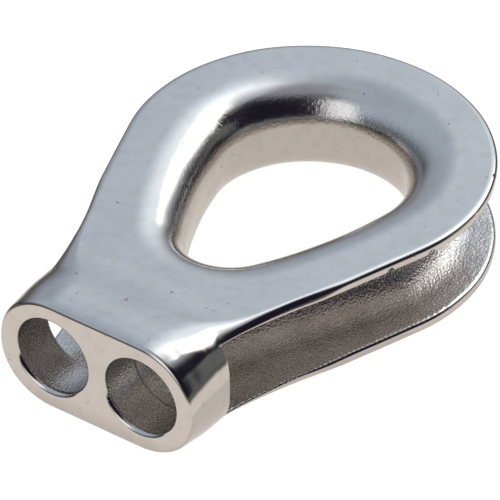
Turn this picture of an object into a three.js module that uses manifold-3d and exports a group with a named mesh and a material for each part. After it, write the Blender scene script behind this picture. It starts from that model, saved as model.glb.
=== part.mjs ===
// Thimble eye: a solid rope thimble with two bores, cast in one piece.
// It is modelled as the sections that the casting divides into, with a hairline gap between them.
// Millimetres. +X runs from the rope collar to the crown, +Y across the eye, +Z up through the thickness.
// While the sections are made, x = 0 is the collar's front face and z = 0 is the middle of the thickness.
import * as THREE from 'three';
import { ConvexGeometry } from 'three/addons/geometries/ConvexGeometry.js';
import { mergeVertices } from 'three/addons/utils/BufferGeometryUtils.js';
import Module from 'manifold-3d';

const wasm = await Module();
wasm.setup();

// Driving dimensions
const BORE_RADIUS = 3.8;          // rope bore, and the section of the groove
const BORE_HALF_SPACING = 4.67;   // bore axis to the middle of the collar
const BORE_CHAMFER = 0.3;         // broken edge at each bore's mouth

const COLLAR_LENGTH = 5.8;        // front face to the start of the groove
const COLLAR_HALF_HEIGHT = 5.55;
const COLLAR_END_WIDTH = 5.63;    // bore axis out to the collar's side

const RING_HALF_HEIGHT = 4.57;
const NECK_SLOPE_END = 10.1;      // x where the slope down from the collar reaches the ring's height

const RIM = { crownX: 31.41, crownRadius: 16.51, flankAngle: 0.328, neckHalfWidth: 9.2, filletRadius: 22.7 };
const ROPE = {
  crownX: 31.5, crownRadius: 14.3, flankAngle: 0.4538, neckHalfWidth: BORE_HALF_SPACING, filletRadius: 12,
};
const EYE = { crownX: 31.69, crownRadius: 8.46, tipX: 19.83, tipRadius: 3.95, sideRadius: 38.8 };
const BELL_WIDTH = 3.93;          // how far the eye's rounded mouth reaches out over each cheek
const BELL_DEPTH = 3.61;          // and down into the eye

const CHEEK_ROOT = 2.5;           // height above mid-plane where cheek and saddle divide
const WEB_END = 13.4;             // x where the neck web and the saddle divide
const GAP = 0.3;                  // between neighbouring sections
const MARGIN = 3;                 // how far cutters run past what they cut
const OVERCUT = 0.02;             // how far the bell mouth's cutter stands proud of the faces it opens

// Fineness of the curves
const OUTLINE_SEGMENTS = 16;
const BELL_SEGMENTS = 5;
const ROPE_SIDES = 20;
const ROPE_STEPS = 60;
const BORE_SIDES = 40;

const LENGTH = RIM.crownX + RIM.crownRadius;

const POLISHED = { color: 0xb6b8ba, roughness: 0.16, metalness: 1 };
const AS_CAST = { color: 0x77736e, roughness: 0.55, metalness: 1 };

// A closed three.js geometry as a solid that can be joined and cut
function solidOf(geometry) {
  const bare = geometry.clone();
  bare.deleteAttribute('normal');
  bare.deleteAttribute('uv');
  const merged = mergeVertices(bare, 1e-5);
  return new wasm.Manifold(new wasm.Mesh({
    numProp: 3,
    vertProperties: new Float32Array(merged.attributes.position.array),
    triVerts: new Uint32Array(merged.index.array),
  }));
}

function geometryOf(solid) {
  const mesh = solid.getMesh();
  const geometry = new THREE.BufferGeometry();
  geometry.setAttribute('position', new THREE.BufferAttribute(mesh.vertProperties, mesh.numProp));
  geometry.setIndex(new THREE.BufferAttribute(mesh.triVerts, 1));
  geometry.computeVertexNormals();
  return geometry;
}

// A box from its lowest to its highest corner
function boxSolid(low, high) {
  const size = high.map((value, axis) => value - low[axis]);
  const geometry = new THREE.BoxGeometry(...size);
  geometry.translate(...low.map((value, axis) => value + size[axis] / 2));
  return solidOf(geometry);
}

// A plan outline extruded along Z, centred on the mid-plane
function prismSolid(shape, halfHeight) {
  const options = { depth: 2 * halfHeight, bevelEnabled: false, curveSegments: OUTLINE_SEGMENTS };
  const geometry = new THREE.ExtrudeGeometry(shape, options);
  geometry.translate(0, 0, -halfHeight);
  return solidOf(geometry);
}

// Neck, concave fillet, straight flank, round crown, and the same back: the rim and the rope share this form.
// The curve starts on the -Y side at startX and ends on the +Y side.
function addNeckAndCrown(path, startX, { crownX, crownRadius, flankAngle, neckHalfWidth, filletRadius }) {
  const flankEndX = crownX - crownRadius * Math.sin(flankAngle);
  const flankEndY = crownRadius * Math.cos(flankAngle);
  const cornerX = flankEndX - (flankEndY - neckHalfWidth) / Math.tan(flankAngle);
  const filletStartX = cornerX - filletRadius * Math.tan(flankAngle / 2);
  const filletY = neckHalfWidth + filletRadius;
  const quarter = Math.PI / 2;
  path.moveTo(startX, -neckHalfWidth);
  path.lineTo(filletStartX, -neckHalfWidth);
  path.absarc(filletStartX, -filletY, filletRadius, quarter, quarter - flankAngle, true);
  path.absarc(crownX, 0, crownRadius, -quarter - flankAngle, quarter + flankAngle, false);
  path.absarc(filletStartX, filletY, filletRadius, flankAngle - quarter, -quarter, true);
  path.lineTo(startX, neckHalfWidth);
  return path;
}

// The eye in plan: a crown arc, a tip arc and two nearly straight side arcs that touch both
function eyeShape({ crownX, crownRadius, tipX, tipRadius, sideRadius }) {
  const toCrown = sideRadius - crownRadius;
  const toTip = sideRadius - tipRadius;
  const between = crownX - tipX;
  const sideX = tipX + (toTip ** 2 - toCrown ** 2 + between ** 2) / (2 * between);
  const sideY = Math.sqrt(toTip ** 2 - (sideX - tipX) ** 2);
  const crownAngle = Math.atan2(sideY, crownX - sideX);
  const tipAngle = Math.atan2(sideY, tipX - sideX);
  const shape = new THREE.Shape();
  shape.absarc(crownX, 0, crownRadius, -crownAngle, crownAngle, false);
  shape.absarc(sideX, -sideY, sideRadius, crownAngle, tipAngle, false);
  shape.absarc(tipX, 0, tipRadius, tipAngle, 2 * Math.PI - tipAngle, false);
  shape.absarc(sideX, sideY, sideRadius, -tipAngle, -crownAngle, false);
  return shape;
}

// What the eye removes: a straight wall in the middle, and a quarter-ellipse bell mouth at each face
function eyeCutter() {
  const wallHalfHeight = RING_HALF_HEIGHT - BELL_DEPTH + OVERCUT;
  const geometry = new THREE.ExtrudeGeometry(eyeShape(EYE), {
    depth: 2 * wallHalfHeight,
    curveSegments: OUTLINE_SEGMENTS,
    bevelThickness: BELL_DEPTH,
    bevelSize: -BELL_WIDTH,
    bevelOffset: BELL_WIDTH,
    bevelSegments: BELL_SEGMENTS,
  });
  geometry.translate(0, 0, -wallHalfHeight);
  return solidOf(geometry);
}

// A flat plan path as a curve in space, for sweeping the rope's section along it
class FlatCurve extends THREE.Curve {
  constructor(path) {
    super();
    this.path = path;
  }

  getPoint(t) {
    const point = this.path.getPoint(t);
    return new THREE.Vector3(point.x, point.y, 0);
  }
}

// What the groove removes behind the collar: the rope's round section, and the slot outside it
function grooveCutter() {
  const line = addNeckAndCrown(new THREE.Path(), 0, ROPE);
  const section = new THREE.Shape().absarc(0, 0, BORE_RADIUS, 0, 2 * Math.PI, false);
  const rope = new THREE.ExtrudeGeometry(section, {
    steps: ROPE_STEPS,
    curveSegments: ROPE_SIDES,
    extrudePath: new FlatCurve(line),
  });
  const core = prismSolid(addNeckAndCrown(new THREE.Shape(), -MARGIN, ROPE), BORE_RADIUS + MARGIN);
  const reach = RIM.crownRadius + MARGIN;
  const slot = boxSolid([COLLAR_LENGTH, -reach, -BORE_RADIUS], [LENGTH + MARGIN, reach, BORE_RADIUS]);
  return slot.subtract(core).add(solidOf(rope));
}

// The collar seen from the front: a block with round ends, one round each bore
function collarOutline() {
  const outline = new THREE.Shape();
  const quarter = Math.PI / 2;
  outline.absellipse(BORE_HALF_SPACING, 0, COLLAR_END_WIDTH, COLLAR_HALF_HEIGHT, -quarter, quarter, false, 0);
  outline.absellipse(-BORE_HALF_SPACING, 0, COLLAR_END_WIDTH, COLLAR_HALF_HEIGHT, quarter, 3 * quarter, false, 0);
  return outline;
}

// The shoulders that carry the collar's round ends on into the ring's square rim
function shoulderSolid() {
  const collarEnd = collarOutline().getPoints(OUTLINE_SEGMENTS);
  const crown = new THREE.Path().absarc(RIM.crownX, 0, RIM.crownRadius + GAP, 0, 2 * Math.PI, false);
  const crownPoints = crown.getPoints(OUTLINE_SEGMENTS);
  return solidOf(new ConvexGeometry([
    ...collarEnd.map((point) => new THREE.Vector3(COLLAR_LENGTH, point.x, point.y)),
    ...crownPoints.map((point) => new THREE.Vector3(point.x, point.y, COLLAR_HALF_HEIGHT)),
    ...crownPoints.map((point) => new THREE.Vector3(point.x, point.y, -COLLAR_HALF_HEIGHT)),
  ]));
}

// The faces seen from the side: level over the ring, and sloping up over the neck to the collar's height
function facesSolid() {
  const sideView = new THREE.Shape();
  sideView.moveTo(COLLAR_LENGTH, -COLLAR_HALF_HEIGHT);
  sideView.lineTo(NECK_SLOPE_END, -RING_HALF_HEIGHT);
  sideView.lineTo(LENGTH + MARGIN, -RING_HALF_HEIGHT);
  sideView.lineTo(LENGTH + MARGIN, RING_HALF_HEIGHT);
  sideView.lineTo(NECK_SLOPE_END, RING_HALF_HEIGHT);
  sideView.lineTo(COLLAR_LENGTH, COLLAR_HALF_HEIGHT);
  const reach = RIM.crownRadius + MARGIN;
  const geometry = new THREE.ExtrudeGeometry(sideView, { depth: 2 * reach, bevelEnabled: false });
  geometry.translate(0, 0, -reach);
  geometry.rotateX(Math.PI / 2);
  return solidOf(geometry);
}

// The neck and ring behind the collar, before they are divided
function ringBody() {
  return prismSolid(addNeckAndCrown(new THREE.Shape(), 0, RIM), COLLAR_HALF_HEIGHT + MARGIN)
    .intersect(facesSolid())
    .intersect(shoulderSolid())
    .subtract(eyeCutter())
    .subtract(grooveCutter());
}

// The part of a solid between two heights and two stations along X
function sectionOf(solid, lowX, highX, lowZ, highZ) {
  const reach = RIM.crownRadius + MARGIN;
  return solid.intersect(boxSolid([lowX, -reach, lowZ], [highX, reach, highZ]));
}

// The bore's cutter, turned about its axis: a cylinder that widens at the mouth
function boreCutter(y) {
  const profile = [
    new THREE.Vector2(0, -MARGIN),
    new THREE.Vector2(BORE_RADIUS + BORE_CHAMFER, -MARGIN),
    new THREE.Vector2(BORE_RADIUS + BORE_CHAMFER, 0),
    new THREE.Vector2(BORE_RADIUS, BORE_CHAMFER),
    new THREE.Vector2(BORE_RADIUS, COLLAR_LENGTH + MARGIN),
    new THREE.Vector2(0, COLLAR_LENGTH + MARGIN),
  ];
  const geometry = new THREE.LatheGeometry(profile, BORE_SIDES);
  geometry.rotateZ(-Math.PI / 2);
  geometry.translate(0, y, 0);
  return solidOf(geometry);
}

// The collar: an obround block across the part, with the two rope bores through it
function collarSolid() {
  const options = { depth: COLLAR_LENGTH, bevelEnabled: false, curveSegments: OUTLINE_SEGMENTS };
  const geometry = new THREE.ExtrudeGeometry(collarOutline(), options);
  geometry.rotateX(Math.PI / 2);
  geometry.rotateZ(Math.PI / 2);
  return solidOf(geometry)
    .subtract(boreCutter(BORE_HALF_SPACING))
    .subtract(boreCutter(-BORE_HALF_SPACING));
}

function sectionMesh(name, solid, finish) {
  const mesh = new THREE.Mesh(geometryOf(solid), new THREE.MeshStandardMaterial(finish));
  mesh.name = name;
  return mesh;
}

const ring = ringBody();
const ringStart = COLLAR_LENGTH + GAP;
const ringEnd = LENGTH + MARGIN;
const top = COLLAR_HALF_HEIGHT + MARGIN;
const saddleTop = CHEEK_ROOT - GAP;

const thimbleEye = new THREE.Group();
thimbleEye.add(
  sectionMesh('bore_collar', collarSolid(), POLISHED),
  sectionMesh('neck_web', sectionOf(ring, ringStart, WEB_END, -saddleTop, saddleTop), AS_CAST),
  sectionMesh('eye_saddle', sectionOf(ring, WEB_END + GAP, ringEnd, -saddleTop, saddleTop), AS_CAST),
  sectionMesh('upper_cheek', sectionOf(ring, ringStart, ringEnd, CHEEK_ROOT, top), POLISHED),
  sectionMesh('lower_cheek', sectionOf(ring, ringStart, ringEnd, -top, -CHEEK_ROOT), POLISHED),
);

// The origin goes to the middle of the length and width, at the height of what the part rests on
thimbleEye.position.set(-LENGTH / 2, 0, COLLAR_HALF_HEIGHT);

export default thimbleEye;
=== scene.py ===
"""A thimble eye in polished cast stainless steel, lying flat on a pale floor.

The casting is one continuous surface. It is written as a signed field (negative inside the metal), meshed
on a fine grid, and cut along the planes in the middle of the CAD model's gaps into one closed piece for each
CAD node.
"""

import math

import bmesh
import bpy
import numpy as np
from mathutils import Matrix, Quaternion, Vector


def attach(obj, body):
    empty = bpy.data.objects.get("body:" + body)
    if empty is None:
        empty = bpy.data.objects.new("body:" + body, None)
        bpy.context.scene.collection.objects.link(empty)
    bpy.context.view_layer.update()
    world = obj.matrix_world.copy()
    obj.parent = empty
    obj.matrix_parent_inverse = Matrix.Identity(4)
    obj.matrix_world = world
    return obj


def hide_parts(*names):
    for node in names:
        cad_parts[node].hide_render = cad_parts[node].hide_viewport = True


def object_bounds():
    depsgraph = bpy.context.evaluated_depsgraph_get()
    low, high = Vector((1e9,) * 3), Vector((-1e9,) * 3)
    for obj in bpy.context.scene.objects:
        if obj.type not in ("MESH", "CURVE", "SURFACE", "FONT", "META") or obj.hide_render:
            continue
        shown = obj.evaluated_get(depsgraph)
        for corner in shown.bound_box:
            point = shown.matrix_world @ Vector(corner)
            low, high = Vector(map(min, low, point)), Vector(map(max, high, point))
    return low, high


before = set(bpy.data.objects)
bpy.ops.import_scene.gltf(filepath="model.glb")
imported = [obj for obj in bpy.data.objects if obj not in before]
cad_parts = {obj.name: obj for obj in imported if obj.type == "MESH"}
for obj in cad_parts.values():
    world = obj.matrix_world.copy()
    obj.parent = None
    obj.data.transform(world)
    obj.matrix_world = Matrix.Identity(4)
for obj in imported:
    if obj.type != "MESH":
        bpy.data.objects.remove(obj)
cad_low, cad_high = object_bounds()

# Sizes are in millimetres of the design: x runs back from the collar's front face, y across from the middle
# of the width, and z up from the middle of the thickness. Sizes in metres say so.

# Outlines in plan: a neck, a fillet, a straight flank leaning out by an angle, and a round crown.
RIM = dict(crown_x=31.41, crown_radius=16.51, flank_angle=0.328, neck=10.25, fillet=28.5)
ROPE = dict(crown_x=31.5, crown_radius=14.3, flank_angle=0.4538, neck=4.67, fillet=12.0)
DESIGN_LENGTH = RIM["crown_x"] + RIM["crown_radius"]

# The eye is a teardrop of a crown arc, a tip arc and two side arcs.
EYE_CROWN_X, EYE_CROWN_RADIUS = 31.69, 8.46
EYE_TIP_X, EYE_TIP_RADIUS = 19.83, 3.95
EYE_SIDE_RADIUS = 38.8
BELL_WIDTH, BELL_DEPTH, BELL_SQUARENESS = 4.6, 4.2, 2.35

# The upper and lower faces fall from the collar to the ring.
COLLAR_LENGTH = 5.8
COLLAR_HALF_HEIGHT, RING_HALF_HEIGHT = 5.55, 4.57
SLOPE_START, SLOPE_END = 2.0, 10.1

# The edge round the outside is a half round at the collar, but for a narrow flat at mid-height, and tightens
# into a small radius at the ring. Its width decays behind the collar, after an eased start.
SHOULDER_WIDTH, RIM_EDGE_WIDTH, RIM_EDGE_DEPTH = 5.63, 0.65, 0.45
SHOULDER_DECAY, SHOULDER_EASE = 2.67, 0.64
SHOULDER_FLAT = 0.2
SHOULDER_DEPTH = COLLAR_HALF_HEIGHT - SHOULDER_FLAT
DEPTH_START, DEPTH_END = 9.0, 19.0
FRONT_SQUARENESS, REAR_SQUARENESS = 2.04, 2.6

# The bores, and the rope groove, which flares out from the end of each bore to the collar's rear edge.
BORE_Y, BORE_RADIUS, BORE_LENGTH, BORE_OVERRUN = 4.67, 3.7, 4.7, 1.0
FLARE = (COLLAR_LENGTH - BORE_LENGTH) / (RIM["neck"] - BORE_Y - BORE_RADIUS)
GROOVE_NECK_RADIUS, GROOVE_RING_RADIUS = 3.78, 3.5
TAPER_START, TAPER_END = 8.0, 20.0

# How far the edges of the front face, of the bores' mouths and of the groove's lips are rounded.
FRONT_EDGE, MOUTH_EDGE, LIP_EDGE = 0.35, 0.5, 0.34

# Just behind its front face the collar is rolled in a little: over this length, by this much.
ROLL_LENGTH, ROLL_DROP = 1.3, 0.09

# Casting pits and nicks: x, y, z of the centre, and the radius. Then how far their edges are rounded.
FLAWS = (
    (4.5, 0.6, 5.9, 0.5),
    (23.2, -14.4, 3.7, 0.35),
    (27.4, -15.8, 3.6, 0.4),
    (33.6, -16.7, 4.2, 0.35),
    (38.9, -14.7, 4.5, 0.2),
    (12.5, 11.0, -3.9, 0.4),
    (30.0, 16.8, -4.2, 0.4),
)
FLAW_BLEND = 0.12

# Heights from the middle at which the bell mouth is pitted: where the pitting fades in, and out again. The
# border is how much nearer the bell mouth is than the outside where pitting begins, and where it is full.
PITTED_FROM, PITTED_TO = (1.0, 1.8), (3.2, 4.2)
PITTED_BORDER = (-0.2, 0.2)

# The polish reaches over the lips of the groove and into the bores: where it begins to fade, and has gone.
POLISHED_LIP, POLISHED_MOUTH = (0.18, 0.42), (0.25, 0.7)

# Hand polishing leaves the surface slightly wavy: wave lengths and height.
WAVE_LENGTHS, WAVE_HEIGHT = (6.1, 7.3, 8.9), 0.006

# The casting is cut in the middle of the CAD gaps. A vertex this near to a cut counts as on it.
COLLAR_CUT, WEB_CUT, CHEEK_CUT, CUT_TOLERANCE = 5.95, 13.55, 2.35, 0.02

# The grid's cell, and how many cells it reaches past the casting.
CELL = 0.16
GRID_MARGIN = 3

# Newton steps that bring the vertices onto the surface: at first, in each smoothing round, and at the end.
FIRST_STEPS, ROUND_STEPS, LAST_STEPS = 4, 1, 2
SMOOTHING_ROUNDS = 4

# The least slope that a Newton step divides by, and how far to each side of a point a slope is measured.
LEAST_SLOPE, DIFFERENCE = 0.5, 0.004

# Stands in for zero as a divisor.
TINY = 1e-12

# The design's millimetre in metres, from the length of the frame, and the design's origin in the frame.
MM = (cad_high.x - cad_low.x) / DESIGN_LENGTH
ORIGIN = Vector((cad_low.x, (cad_low.y + cad_high.y) / 2, cad_low.z + COLLAR_HALF_HEIGHT * MM))


# ---- The casting as a field ----


def smooth(value, start, end):
    """0 before start, 1 after end, and smooth between."""
    t = np.clip((value - start) / (end - start), 0, 1)
    return t * t * (3 - 2 * t)


def neck_and_crown(x, y, form):
    """Distance in plan outside one of the outlines RIM and ROPE."""
    y = np.abs(y)
    angle = form["flank_angle"]
    along, across = math.cos(angle), math.sin(angle)
    flank_end_x = form["crown_x"] - form["crown_radius"] * across
    flank_end_y = form["crown_radius"] * along
    corner = flank_end_x - (flank_end_y - form["neck"]) / math.tan(angle)
    tangent = form["fillet"] * math.tan(angle / 2)
    fillet_x = corner - tangent
    fillet_y = form["neck"] + form["fillet"]
    past_flank = (x - flank_end_x) * along + (y - flank_end_y) * across
    past_fillet = (x - corner - tangent * along) * along + (y - form["neck"] - tangent * across) * across
    crown = np.hypot(x - form["crown_x"], y) - form["crown_radius"]
    flank = (y - flank_end_y) * along - (x - flank_end_x) * across
    fillet = form["fillet"] - np.hypot(x - fillet_x, y - fillet_y)
    neck = y - form["neck"]
    return np.select([past_flank > 0, past_fillet > 0, x > fillet_x], [crown, flank, fillet], neck)


def eye_distance(x, y):
    """Distance in plan outside the teardrop eye."""
    y = np.abs(y)
    to_crown = EYE_SIDE_RADIUS - EYE_CROWN_RADIUS
    to_tip = EYE_SIDE_RADIUS - EYE_TIP_RADIUS
    between = EYE_CROWN_X - EYE_TIP_X
    side_x = EYE_TIP_X + (to_tip**2 - to_crown**2 + between**2) / (2 * between)
    side_y = math.sqrt(to_tip**2 - (side_x - EYE_TIP_X) ** 2)
    crown_angle = math.atan2(side_y, EYE_CROWN_X - side_x)
    tip_angle = math.atan2(side_y, EYE_TIP_X - side_x)
    angle = np.arctan2(y + side_y, x - side_x)
    crown = np.hypot(x - EYE_CROWN_X, y) - EYE_CROWN_RADIUS
    tip = np.hypot(x - EYE_TIP_X, y) - EYE_TIP_RADIUS
    side = np.hypot(x - side_x, y + side_y) - EYE_SIDE_RADIUS
    return np.select([angle < crown_angle, angle > tip_angle], [crown, tip], side)


def rounded_edge(side, over, width, depth, power):
    """The corner between a side and an upper face, turned by a superellipse of that width and depth."""
    u = np.maximum(side / width + 1, 0)
    v = np.maximum(over / depth + 1, 0)
    reach = (u**power + v**power) ** (1 / power)
    size = (width * u * u + depth * v * v) / np.maximum(u * u + v * v, TINY)
    return (reach - 1) * np.where(reach > 0, size, np.minimum(width, depth))


def rounded_cut(body, cut, radius):
    """The body less the cut (both negative inside the metal), with the edge between them rounded."""
    both = np.hypot(np.maximum(body + radius, 0), np.maximum(cut + radius, 0))
    return np.minimum(np.maximum(body, cut), -radius) + both


def half_height(x):
    """Height of the upper face above the middle of the thickness."""
    fall = COLLAR_HALF_HEIGHT - RING_HALF_HEIGHT
    return COLLAR_HALF_HEIGHT - fall * smooth(x, SLOPE_START, SLOPE_END)


def shell(x, y, z):
    """The outside of the casting before the rope's way is cut into it."""
    height = half_height(x)
    behind = x - COLLAR_LENGTH
    behind = (behind + np.sqrt(behind * behind + SHOULDER_EASE)) / 2
    width = RIM_EDGE_WIDTH + (SHOULDER_WIDTH - RIM_EDGE_WIDTH) * np.exp(-behind / SHOULDER_DECAY)
    depth = SHOULDER_DEPTH + (RIM_EDGE_DEPTH - SHOULDER_DEPTH) * smooth(x, DEPTH_START, DEPTH_END)
    power = FRONT_SQUARENESS + (REAR_SQUARENESS - FRONT_SQUARENESS) * smooth(x, 0, COLLAR_LENGTH)
    rim = neck_and_crown(x, y, RIM)
    return rounded_edge(rim, np.abs(z) - height, width, np.minimum(depth, height), power)


def bell_mouth(x, y, z):
    """The eye, which opens like a bell towards both faces."""
    over = np.abs(z) - half_height(x)
    return rounded_edge(-eye_distance(x, y), over, BELL_WIDTH, BELL_DEPTH, BELL_SQUARENESS)


def rope_groove(x, y, z):
    """The groove that holds the rope, from the collar round the crown."""
    taper = GROOVE_NECK_RADIUS - GROOVE_RING_RADIUS
    radius = GROOVE_NECK_RADIUS - taper * smooth(x, TAPER_START, TAPER_END)
    inwards = np.minimum(neck_and_crown(x, y, ROPE), 0)
    from_bore = np.maximum(np.hypot(np.abs(y) - BORE_Y, z) - BORE_RADIUS, 0)
    return np.minimum(radius - np.hypot(inwards, z), x - BORE_LENGTH - FLARE * from_bore)


def rope_bores(x, y, z):
    """The two bores through the collar, which run on into the groove."""
    bore = BORE_RADIUS - np.hypot(np.abs(y) - BORE_Y, z)
    return np.minimum(bore, BORE_LENGTH + BORE_OVERRUN - x)


def casting(x, y, z):
    """Negative inside the metal, zero on its surface."""
    wave = sum(np.sin(v * 2 * math.pi / length) for v, length in zip((x, y, z), WAVE_LENGTHS))
    roll = ROLL_DROP * np.maximum(1 - x / ROLL_LENGTH, 0) ** 2
    body = np.maximum(shell(x, y, z), bell_mouth(x, y, z)) + wave * WAVE_HEIGHT + roll
    body = rounded_cut(body, -x, FRONT_EDGE)
    for fx, fy, fz, radius in FLAWS:
        flaw = radius - np.sqrt((x - fx) ** 2 + (y - fy) ** 2 + (z - fz) ** 2)
        body = rounded_cut(body, flaw, FLAW_BLEND)
    body = rounded_cut(body, rope_groove(x, y, z), LIP_EDGE)
    return rounded_cut(body, rope_bores(x, y, z), MOUTH_EDGE)


def gradient(points):
    """The field's slope at each point, which stands square to the surface."""
    slope = np.empty_like(points)
    for axis in range(3):
        step = np.zeros(3)
        step[axis] = DIFFERENCE
        slope[:, axis] = casting(*(points + step).T) - casting(*(points - step).T)
    return slope / (2 * DIFFERENCE)


# ---- The mesh ----


def onto_surface(points, steps):
    """Moves the points along the field's slope until they lie on the surface."""
    for _ in range(steps):
        slope = gradient(points)
        squared = np.maximum((slope * slope).sum(1), LEAST_SLOPE**2)
        move = slope * (casting(*points.T) / squared)[:, None]
        points = points - np.clip(move, -CELL, CELL)
    return points


def grid_axes():
    """The places of the grid's planes along x, y and z."""
    margin = GRID_MARGIN * CELL
    half_width = RIM["crown_radius"] + margin
    half_thickness = COLLAR_HALF_HEIGHT + margin
    return (
        np.arange(-margin, DESIGN_LENGTH + margin, CELL),
        np.arange(-half_width, half_width, CELL),
        np.arange(-half_thickness, half_thickness, CELL),
    )


def crossed_cells(inside):
    """Marks the cells that have some of their eight corners in the metal and some out of it."""
    count = sum(
        inside[i : i - 1 or None, j : j - 1 or None, k : k - 1 or None].astype(np.int8)
        for i in (0, 1)
        for j in (0, 1)
        for k in (0, 1)
    )
    return (count > 0) & (count < 8)


def surface_net():
    """One vertex in each cell that the surface crosses, and one quad for each grid edge that it crosses."""
    axes = grid_axes()
    y, z = np.meshgrid(axes[1], axes[2], indexing="ij")
    inside = np.stack([casting(np.full_like(y, x), y, z) < 0 for x in axes[0]])
    crossed = crossed_cells(inside)
    number = np.full(crossed.shape, -1)
    number[crossed] = np.arange(crossed.sum())
    points = np.stack([axis[i] + CELL / 2 for axis, i in zip(axes, np.nonzero(crossed))], axis=1)
    quads = []
    for axis in range(3):
        solid = np.moveaxis(inside, axis, 0)
        cells = np.moveaxis(number, axis, 0)
        for leaving in (True, False):
            edges = (solid[:-1] & ~solid[1:]) if leaving else (~solid[:-1] & solid[1:])
            i, j, k = np.nonzero(edges[:, 1:-1, 1:-1])
            ring = [cells[i, j, k], cells[i, j + 1, k], cells[i, j + 1, k + 1], cells[i, j, k + 1]]
            if leaving == (axis == 1):
                ring.reverse()
            quads.append(np.stack(ring, axis=1))
    return points, np.concatenate(quads)


def evened(points, quads):
    """Spreads the vertices evenly over the surface."""
    ends = np.concatenate([quads[:, [i, (i + 1) % 4]] for i in range(4)])
    shares = np.bincount(ends[:, 0], minlength=len(points))
    for _ in range(SMOOTHING_ROUNDS):
        middle = [np.bincount(ends[:, 0], points[ends[:, 1], axis], len(points)) for axis in range(3)]
        points = onto_surface(np.stack(middle, axis=1) / shares[:, None], ROUND_STEPS)
    return onto_surface(points, LAST_STEPS)


def whole_casting():
    """The casting as a bmesh in the design's millimetres."""
    points, quads = surface_net()
    points = evened(onto_surface(points, FIRST_STEPS), quads)
    mesh = bpy.data.meshes.new("whole_casting")
    mesh.from_pydata(points.tolist(), [], quads.tolist())
    mesh.polygons.foreach_set("use_smooth", [True] * len(mesh.polygons))
    whole = bmesh.new()
    whole.from_mesh(mesh)
    bpy.data.meshes.remove(mesh)
    return whole


def cut_off(piece, axis, place, side):
    """Keeps what lies on one side (+1 or -1) of a plane square to the axis, and closes the cut flat."""
    normal = Vector((0, 0, 0))
    normal[axis] = -side
    point = Vector((0, 0, 0))
    point[axis] = place
    parts = piece.verts[:] + piece.edges[:] + piece.faces[:]
    plane = dict(plane_co=point, plane_no=normal, dist=CUT_TOLERANCE)
    cut = bmesh.ops.bisect_plane(piece, geom=parts, clear_outer=True, **plane)
    rim = [e for e in cut["geom_cut"] if isinstance(e, bmesh.types.BMEdge) and e.is_boundary]
    fill = bmesh.ops.triangle_fill(piece, edges=rim, use_beauty=True, normal=normal)
    for item in fill["geom"]:
        if isinstance(item, bmesh.types.BMFace):
            item.smooth = False


def surface_normals(mesh):
    """The field's own normal at each face corner, and the flat one on the cut faces."""
    points = np.empty(len(mesh.vertices) * 3)
    mesh.vertices.foreach_get("co", points)
    slope = gradient(points.reshape(-1, 3))
    slope /= np.linalg.norm(slope, axis=1, keepdims=True)
    vertex = np.empty(len(mesh.loops), int)
    mesh.loops.foreach_get("vertex_index", vertex)
    flat = np.empty(len(mesh.polygons) * 3)
    mesh.polygons.foreach_get("normal", flat)
    corners = np.empty(len(mesh.polygons), int)
    mesh.polygons.foreach_get("loop_total", corners)
    curved = np.empty(len(mesh.polygons), bool)
    mesh.polygons.foreach_get("use_smooth", curved)
    flat = np.repeat(flat.reshape(-1, 3), corners, axis=0)
    curved = np.repeat(curved, corners)
    return np.where(curved[:, None], slope[vertex], flat)


def mark(mesh, name, values):
    """Keeps a number for each vertex under a name, which the material reads."""
    mesh.attributes.new(name, "FLOAT", "POINT").data.foreach_set("value", values.astype(np.float32))


def mark_finishes(mesh):
    """Marks how far each vertex is left as cast, and how far it lies in the pitted part of the bell."""
    points = np.empty(len(mesh.vertices) * 3)
    mesh.vertices.foreach_get("co", points)
    x, y, z = points.reshape(-1, 3).T
    rope_way = np.maximum(rope_groove(x, y, z), rope_bores(x, y, z))
    outside, mouth = shell(x, y, z), bell_mouth(x, y, z)
    polished = np.maximum(np.maximum(outside, mouth), -x)
    mark(mesh, "as_cast", smooth(rope_way - polished, *POLISHED_LIP) * smooth(x, *POLISHED_MOUTH))
    height = np.abs(z)
    in_mouth = smooth(mouth - outside, *PITTED_BORDER)
    mark(mesh, "pitted", smooth(height, *PITTED_FROM) * (1 - smooth(height, *PITTED_TO)) * in_mouth)


def casting_piece(name, whole, cuts, steel):
    """One closed section of the casting, in the frame's metres."""
    section = whole.copy()
    for axis, place, side in cuts:
        cut_off(section, axis, place, side)
    mesh = bpy.data.meshes.new(name)
    section.to_mesh(mesh)
    section.free()
    mesh.materials.append(steel)
    mark_finishes(mesh)
    normals = surface_normals(mesh)
    mesh.polygons.foreach_set("use_smooth", [True] * len(mesh.polygons))
    mesh.normals_split_custom_set(normals)
    for vertex in mesh.vertices:
        vertex.co = ORIGIN + vertex.co * MM
    piece = bpy.data.objects.new(name, mesh)
    bpy.context.collection.objects.link(piece)
    return piece


# ---- Materials ----

# The collar is polished brighter than the ring: where the haze begins and is full, and the roughness of
# each. Hazy clouds add a little more.
HAZE_START, HAZE_END = 6.0, 18.0
COLLAR_ROUGHNESS, RING_ROUGHNESS, CLOUD_ROUGHNESS = 0.1, 0.16, 0.05

# Patterns in the finish: how fine the noise is, its detail, and the levels between which each fades in.
CLOUDS = dict(scale=0.35, detail=3.0, low=0.3, high=0.7)
PIN_HOLES = dict(scale=1.6, detail=2.0, low=0.715, high=0.775)
DENTS = dict(scale=3.4, detail=2.0, low=0.45, high=0.7)
POLISH_STAIN = dict(scale=0.8, detail=4.0, low=0.4, high=0.75)
CAST_PALE_PATCHES = dict(scale=0.5, detail=4.0, low=0.3, high=0.7)

# The plain noises that roughen the surface. The scratches run along x: their noise is squeezed across it.
POLISH_GRAIN = dict(scale=4.0, detail=3.0)
SCRATCHES = dict(scale=1.0, detail=3.0)
SCRATCH_SQUEEZE = (0.7, 8.0, 8.0)
CAST_GRAIN = dict(scale=4.6, detail=2.0)

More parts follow.
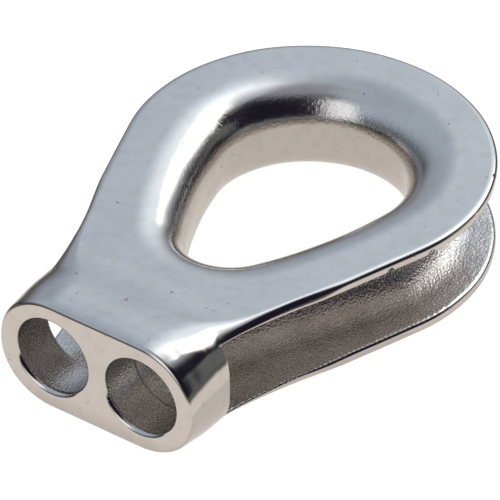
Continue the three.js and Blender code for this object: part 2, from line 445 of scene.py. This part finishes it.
# Heights and depths of the relief.
POLISH_GRAIN_HEIGHT, SCRATCH_HEIGHT, CAST_GRAIN_HEIGHT = 0.0015, 0.0008, 0.075
PIN_HOLE_DEPTH, DENT_DEPTH = 0.01, 0.008

POLISHED_COLOUR = (0.55, 0.52, 0.49, 1)
STAINED_COLOUR = (0.52, 0.485, 0.452, 1)
# The pin holes' colour is darkened: painted shade in the pits.
PIN_HOLE_SHADE_COLOUR = (0.3, 0.28, 0.26, 1)
CAST_COLOUR, CAST_PALE_COLOUR = (0.52, 0.485, 0.46, 1), (0.63, 0.6, 0.575, 1)

# The cast skin is rougher where its grain is high: the grain's levels, and the roughness at each.
CAST_GRAIN_LEVELS, CAST_ROUGHNESS = (0.3, 0.7), (0.2, 0.32)

# The share of the as-cast skin that is dull scale rather than bare metal.
SCALE_ON_CASTING = 0.08

# The Mix node's sockets for colours go by number, since the ones for plain values have the same names.
MIX_FACTOR, MIX_FIRST, MIX_SECOND, MIX_RESULT = 0, 6, 7, 2


class Nodes:
    """Short calls for adding and joining shader nodes."""

    def __init__(self, tree):
        self.tree = tree
        tree.nodes.clear()

    def add(self, kind, inputs=None, **settings):
        node = self.tree.nodes.new(kind)
        for name, value in settings.items():
            setattr(node, name, value)
        for name, value in (inputs or {}).items():
            if isinstance(value, bpy.types.NodeSocket):
                self.tree.links.new(value, node.inputs[name])
            else:
                node.inputs[name].default_value = value
        return node

    def math(self, operation, a, b=0.0):
        return self.add("ShaderNodeMath", {0: a, 1: b}, operation=operation).outputs["Value"]

    def vector(self, operation, a, b=(0, 0, 0), output="Vector"):
        return self.add("ShaderNodeVectorMath", {0: a, 1: b}, operation=operation).outputs[output]

    def noise(self, place, scale, detail):
        inputs = {"Vector": place, "Scale": scale, "Detail": detail}
        return self.add("ShaderNodeTexNoise", inputs).outputs["Fac"]

    def ramp(self, value, low, high, to_low, to_high):
        inputs = {"Value": value, "From Min": low, "From Max": high, "To Min": to_low, "To Max": to_high}
        return self.add("ShaderNodeMapRange", inputs, interpolation_type="SMOOTHSTEP").outputs["Result"]

    def pattern(self, place, scale, detail, low, high):
        """Noise that is 0 below a low level and 1 above a high one."""
        return self.ramp(self.noise(place, scale, detail), low, high, 0.0, 1.0)


def new_material(name):
    material = bpy.data.materials.new(name)
    material.use_nodes = True
    return material, Nodes(material.node_tree)


def place_in_mm(nodes, squeeze=(1, 1, 1)):
    """The point on the object in millimetres, times a number for each axis."""
    where = nodes.add("ShaderNodeTexCoord").outputs["Object"]
    scale = tuple(s / MM for s in squeeze)
    return nodes.add("ShaderNodeMapping", {"Vector": where, "Scale": scale}).outputs["Vector"]


def attribute(nodes, name):
    """What mark() kept under that name."""
    return nodes.add("ShaderNodeAttribute", attribute_name=name).outputs["Fac"]


def blend(nodes, factor, first, second):
    """A mix of two plain values."""
    return nodes.add("ShaderNodeMix", {"Factor": factor, "A": first, "B": second}).outputs["Result"]


def blend_colour(nodes, factor, first, second):
    """A mix of two colours."""
    inputs = {MIX_FACTOR: factor, MIX_FIRST: first, MIX_SECOND: second}
    return nodes.add("ShaderNodeMix", inputs, data_type="RGBA").outputs[MIX_RESULT]


def relief(nodes, first, first_height, second, second_height):
    """The sum in mm of two patterns, each times its own height."""
    first = nodes.math("MULTIPLY", first, first_height)
    second = nodes.math("MULTIPLY", second, second_height)
    return nodes.math("ADD", first, second)


def polished_finish(nodes, place):
    """Hand polish with haze, fine scratches and pin holes. Returns colour, roughness and height in mm."""
    along = nodes.add("ShaderNodeSeparateXYZ", {"Vector": place}).outputs["X"]
    haze = [ORIGIN.x / MM + x for x in (HAZE_START, HAZE_END)]
    roughness = nodes.ramp(along, *haze, COLLAR_ROUGHNESS, RING_ROUGHNESS)
    clouds = nodes.pattern(place, **CLOUDS)
    roughness = nodes.math("ADD", roughness, nodes.math("MULTIPLY", clouds, CLOUD_ROUGHNESS))
    pin_holes = nodes.pattern(place, **PIN_HOLES)
    stain = nodes.pattern(place, **POLISH_STAIN)
    colour = blend_colour(nodes, stain, POLISHED_COLOUR, STAINED_COLOUR)
    # Painted shade: the pin holes are darker in colour, as well as dented in the relief.
    colour = blend_colour(nodes, pin_holes, colour, PIN_HOLE_SHADE_COLOUR)
    grain = nodes.noise(place, **POLISH_GRAIN)
    scratches = nodes.noise(place_in_mm(nodes, SCRATCH_SQUEEZE), **SCRATCHES)
    dents = nodes.math("MULTIPLY", nodes.pattern(place, **DENTS), attribute(nodes, "pitted"))
    fine = relief(nodes, grain, POLISH_GRAIN_HEIGHT, scratches, SCRATCH_HEIGHT)
    holes = relief(nodes, pin_holes, PIN_HOLE_DEPTH, dents, DENT_DEPTH)
    return colour, roughness, nodes.math("SUBTRACT", fine, holes)


def as_cast_finish(nodes, place):
    """The grainy, duller skin that the mould leaves. Returns colour, roughness and height in mm."""
    grain = nodes.noise(place, **CAST_GRAIN)
    pale = nodes.pattern(place, **CAST_PALE_PATCHES)
    colour = blend_colour(nodes, pale, CAST_COLOUR, CAST_PALE_COLOUR)
    roughness = nodes.ramp(grain, *CAST_GRAIN_LEVELS, *CAST_ROUGHNESS)
    return colour, roughness, nodes.math("MULTIPLY", grain, CAST_GRAIN_HEIGHT)


def cast_steel():
    """One material for the whole casting, polished outside and left as cast in the groove and the bores."""
    material, nodes = new_material("cast_steel")
    place = place_in_mm(nodes)
    as_cast = attribute(nodes, "as_cast")
    colour, roughness, height = polished_finish(nodes, place)
    cast_colour, cast_roughness, cast_height = as_cast_finish(nodes, place)
    colour = blend_colour(nodes, as_cast, colour, cast_colour)
    roughness = blend(nodes, as_cast, roughness, cast_roughness)
    height = blend(nodes, as_cast, height, cast_height)
    metallic = nodes.math("SUBTRACT", 1.0, nodes.math("MULTIPLY", as_cast, SCALE_ON_CASTING))
    bump = nodes.add("ShaderNodeBump", {"Height": height, "Strength": 1.0, "Distance": MM})
    shader = nodes.add(
        "ShaderNodeBsdfPrincipled",
        {
            "Base Color": colour,
            "Roughness": roughness,
            "Metallic": metallic,
            "Normal": bump.outputs["Normal"],
        },
    )
    nodes.add("ShaderNodeOutputMaterial", {"Surface": shader.outputs["BSDF"]})
    return material


# ---- The studio ----

# The camera's angles in degrees, its distance from a target in the design, its lens and sensor, and how near
# and far it sees in metres.
CAMERA_AZIMUTH, CAMERA_ELEVATION, CAMERA_ROLL = -54.414, 37.761, 0.344
CAMERA_DISTANCE, CAMERA_LENS, CAMERA_SENSOR = 800.4, 662.7, 36.0
CAMERA_TARGET = Vector((22.287, -0.285, 0.02))
CLIP_START, CLIP_END = 0.01, 100

# Half the side of the floor and of the card, in metres. The floor glows, and has no shine.
GROUND_HALF_SIDE = 2.0
FLOOR_COLOUR, FLOOR_ROUGHNESS = (0.12, 0.12, 0.12, 1), 0.9
FLOOR_GLOW_COLOUR, FLOOR_GLOW = (1.0, 1.0, 1.0, 1), 0.97

# The overhead lamp: its diameter and its height in metres, and its power in watts.
TOP_LIGHT_SIZE, TOP_LIGHT_HEIGHT, TOP_LIGHT_POWER = 2.4, 1.5, 12.0

# Soft panels of light round and over the object, in degrees: azimuth from +X towards +Y, elevation, half
# sizes and how far each fades. Then the colour, which is also the brightness.
PANELS = (
    dict(azimuth=-13, elevation=41, half_width=16, half_height=11, fade=8, colour=(2.4, 2.4, 2.35)),
    dict(azimuth=5, elevation=44, half_width=8, half_height=8, fade=32, colour=(0.9, 0.98, 1.06)),
    dict(azimuth=-15, elevation=62, half_width=25, half_height=6, fade=16, colour=(0.48, 0.54, 0.59)),
    dict(azimuth=90, elevation=44, half_width=62, half_height=4, fade=44, colour=(0.56, 0.67, 0.8)),
    dict(azimuth=-176, elevation=25, half_width=8, half_height=20, fade=20, colour=(1.25, 1.3, 1.35)),
    dict(azimuth=0, elevation=90, half_width=180, half_height=14, fade=22, colour=(0.37, 0.41, 0.46)),
    dict(azimuth=-44, elevation=13, half_width=14, half_height=12, fade=4, colour=(0.17, 0.185, 0.18)),
    dict(azimuth=36, elevation=4, half_width=18, half_height=10, fade=16, colour=(0.22, 0.24, 0.28)),
)
DARK = (0.016, 0.014, 0.028)

# The casting mirrors a pale card, which lies a little lower than the floor. It is bright round the casting,
# shifted towards the camera, fades some way beyond, and has a painted shade underneath that stands in for
# the casting's shadow on the floor.
CARD_DROP = 0.02
CARD_SHIFT = (-6.0, -8.0)
CARD_NEAR, CARD_FAR = 8.0, 34.0
CARD_COLOUR = (1.0, 0.945, 0.9, 1)
CARD_BRIGHTNESS, CARD_EDGE_BRIGHTNESS = 1.06, 0.16
SHADE_BRIGHTNESS, SHADE_FADE = 0.8, 2.5


def direction(azimuth, elevation):
    """The unit vector that points so many degrees round from -Y towards +X, and so many up."""
    a, e = math.radians(azimuth), math.radians(elevation)
    return Vector((math.sin(a) * math.cos(e), -math.cos(a) * math.cos(e), math.sin(e)))


def add_camera():
    camera = bpy.data.objects.new("camera", bpy.data.cameras.new("camera"))
    bpy.context.collection.objects.link(camera)
    backwards = direction(CAMERA_AZIMUTH, CAMERA_ELEVATION)
    camera.location = ORIGIN + (CAMERA_TARGET + backwards * CAMERA_DISTANCE) * MM
    camera.rotation_mode = "QUATERNION"
    turn = backwards.to_track_quat("Z", "Y")
    camera.rotation_quaternion = turn @ Quaternion((0, 0, 1), math.radians(CAMERA_ROLL))
    camera.data.sensor_width = CAMERA_SENSOR
    camera.data.lens = CAMERA_LENS
    camera.data.clip_start = CLIP_START
    camera.data.clip_end = CLIP_END
    bpy.context.scene.camera = camera


def level_square(name, level, material):
    """A wide square that lies level round the origin."""
    mesh = bpy.data.meshes.new(name)
    signs = ((-1, -1), (1, -1), (1, 1), (-1, 1))
    corners = [(x * GROUND_HALF_SIDE, y * GROUND_HALF_SIDE, level) for x, y in signs]
    mesh.from_pydata(corners, [], [(0, 1, 2, 3)])
    mesh.materials.append(material)
    square = bpy.data.objects.new(name, mesh)
    bpy.context.collection.objects.link(square)
    return square


def add_floor():
    """A plain pale floor that the collar rests on, and that the casting doesn't mirror."""
    material, nodes = new_material("floor")
    shader = nodes.add(
        "ShaderNodeBsdfPrincipled",
        {
            "Base Color": FLOOR_COLOUR,
            "Roughness": FLOOR_ROUGHNESS,
            "Specular IOR Level": 0.0,
            "Emission Color": FLOOR_GLOW_COLOUR,
            "Emission Strength": FLOOR_GLOW,
        },
    )
    nodes.add("ShaderNodeOutputMaterial", {"Surface": shader.outputs["BSDF"]})
    floor = level_square("floor", cad_low.z, material)
    floor.visible_glossy = False


def beyond_casting(nodes, where, shift):
    """How far in metres a point lies beyond the casting's length and width, shifted by so many mm."""
    middle = (shift[0] * MM, shift[1] * MM, 0)
    half = ((cad_high.x - cad_low.x) / 2, (cad_high.y - cad_low.y) / 2, 0)
    out = nodes.vector("ABSOLUTE", nodes.vector("SUBTRACT", where, middle))
    out = nodes.vector("MAXIMUM", nodes.vector("SUBTRACT", out, half), (0, 0, 0))
    flat = nodes.vector("MULTIPLY", out, (1, 1, 0))
    return nodes.vector("LENGTH", flat, output="Value")


def add_card():
    """A pale card just under the floor's surface, bright round the object, which only reflections see."""
    material, nodes = new_material("card")
    where = nodes.add("ShaderNodeTexCoord").outputs["Object"]
    strength = nodes.ramp(
        beyond_casting(nodes, where, CARD_SHIFT),
        CARD_NEAR * MM,
        CARD_FAR * MM,
        CARD_BRIGHTNESS,
        CARD_EDGE_BRIGHTNESS,
    )
    # Painted shade: the card's glow is dimmed under the casting, in place of the casting's shadow on the
    # floor.
    shade = nodes.ramp(beyond_casting(nodes, where, (0, 0)), 0.0, SHADE_FADE * MM, SHADE_BRIGHTNESS, 1.0)
    strength = nodes.math("MULTIPLY", strength, shade)
    glow = nodes.add("ShaderNodeEmission", {"Color": CARD_COLOUR, "Strength": strength})
    nodes.add("ShaderNodeOutputMaterial", {"Surface": glow.outputs["Emission"]})
    card = level_square("card", cad_low.z - CARD_DROP * MM, material)
    card.visible_camera = False
    card.visible_diffuse = False
    card.visible_shadow = False


def add_top_light():
    """A wide overhead softbox that lights the floor and isn't mirrored in the casting."""
    light = bpy.data.lights.new("top_light", "AREA")
    light.shape = "DISK"
    light.size = TOP_LIGHT_SIZE
    light.energy = TOP_LIGHT_POWER
    lamp = bpy.data.objects.new("top_light", light)
    lamp.location = (0, 0, TOP_LIGHT_HEIGHT)
    lamp.visible_glossy = False
    lamp.visible_camera = False
    bpy.context.collection.objects.link(lamp)


def panel_light(nodes, level, up, panel):
    """How strongly one panel shines in the direction that is looked in, from 0 to 1."""
    azimuth = math.radians(panel["azimuth"])
    facing = nodes.vector("DOT_PRODUCT", level, (math.cos(azimuth), math.sin(azimuth), 0), output="Value")
    aside = nodes.math("ARCCOSINE", facing)
    above = nodes.math("ABSOLUTE", nodes.math("SUBTRACT", up, math.radians(panel["elevation"])))
    width, height = math.radians(panel["half_width"]), math.radians(panel["half_height"])
    fade = math.radians(panel["fade"])
    across = nodes.ramp(aside, width, width + fade, 1.0, 0.0)
    return nodes.math("MULTIPLY", across, nodes.ramp(above, height, height + fade, 1.0, 0.0))


def add_studio():
    """The world: dark, with soft panels of light round and over the object."""
    world = bpy.data.worlds.new("studio")
    world.use_nodes = True
    bpy.context.scene.world = world
    nodes = Nodes(world.node_tree)
    looking = nodes.add("ShaderNodeTexCoord").outputs["Generated"]
    level = nodes.vector("NORMALIZE", nodes.vector("MULTIPLY", looking, (1, 1, 0)))
    up = nodes.math("ARCSINE", nodes.add("ShaderNodeSeparateXYZ", {"Vector": looking}).outputs["Z"])
    light = DARK
    for panel in PANELS:
        inputs = {0: panel["colour"], "Scale": panel_light(nodes, level, up, panel)}
        glow = nodes.add("ShaderNodeVectorMath", inputs, operation="SCALE").outputs["Vector"]
        light = nodes.vector("ADD", light, glow)
    sky = nodes.add("ShaderNodeBackground", {"Color": light})
    nodes.add("ShaderNodeOutputWorld", {"Surface": sky.outputs["Background"]})
    bpy.context.scene.view_settings.view_transform = "Standard"


# ---- Put together ----


def add_casting():
    """The five sections of the casting, each in place of its CAD node.

    A cut is an axis, a place along it, and the side of it that stays.
    """
    whole = whole_casting()
    steel = cast_steel()
    behind_collar = (0, COLLAR_CUT, 1)
    between = ((2, CHEEK_CUT, -1), (2, -CHEEK_CUT, 1))
    sections = (
        ("collar_casting", "bore_collar", "polished_casting", [(0, COLLAR_CUT, -1)]),
        ("upper_cheek_casting", "upper_cheek", "polished_casting", [behind_collar, (2, CHEEK_CUT, 1)]),
        ("lower_cheek_casting", "lower_cheek", "polished_casting", [behind_collar, (2, -CHEEK_CUT, -1)]),
        ("neck_web_casting", "neck_web", "as_cast_groove", [behind_collar, *between, (0, WEB_CUT, -1)]),
        ("eye_saddle_casting", "eye_saddle", "as_cast_groove", [*between, (0, WEB_CUT, 1)]),
    )
    for name, node, slot, cuts in sections:
        piece = casting_piece(name, whole, cuts, steel)
        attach(piece, "root")
        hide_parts(node)
    whole.free()


add_camera()
add_studio()
add_top_light()
add_floor()
add_card()
add_casting()
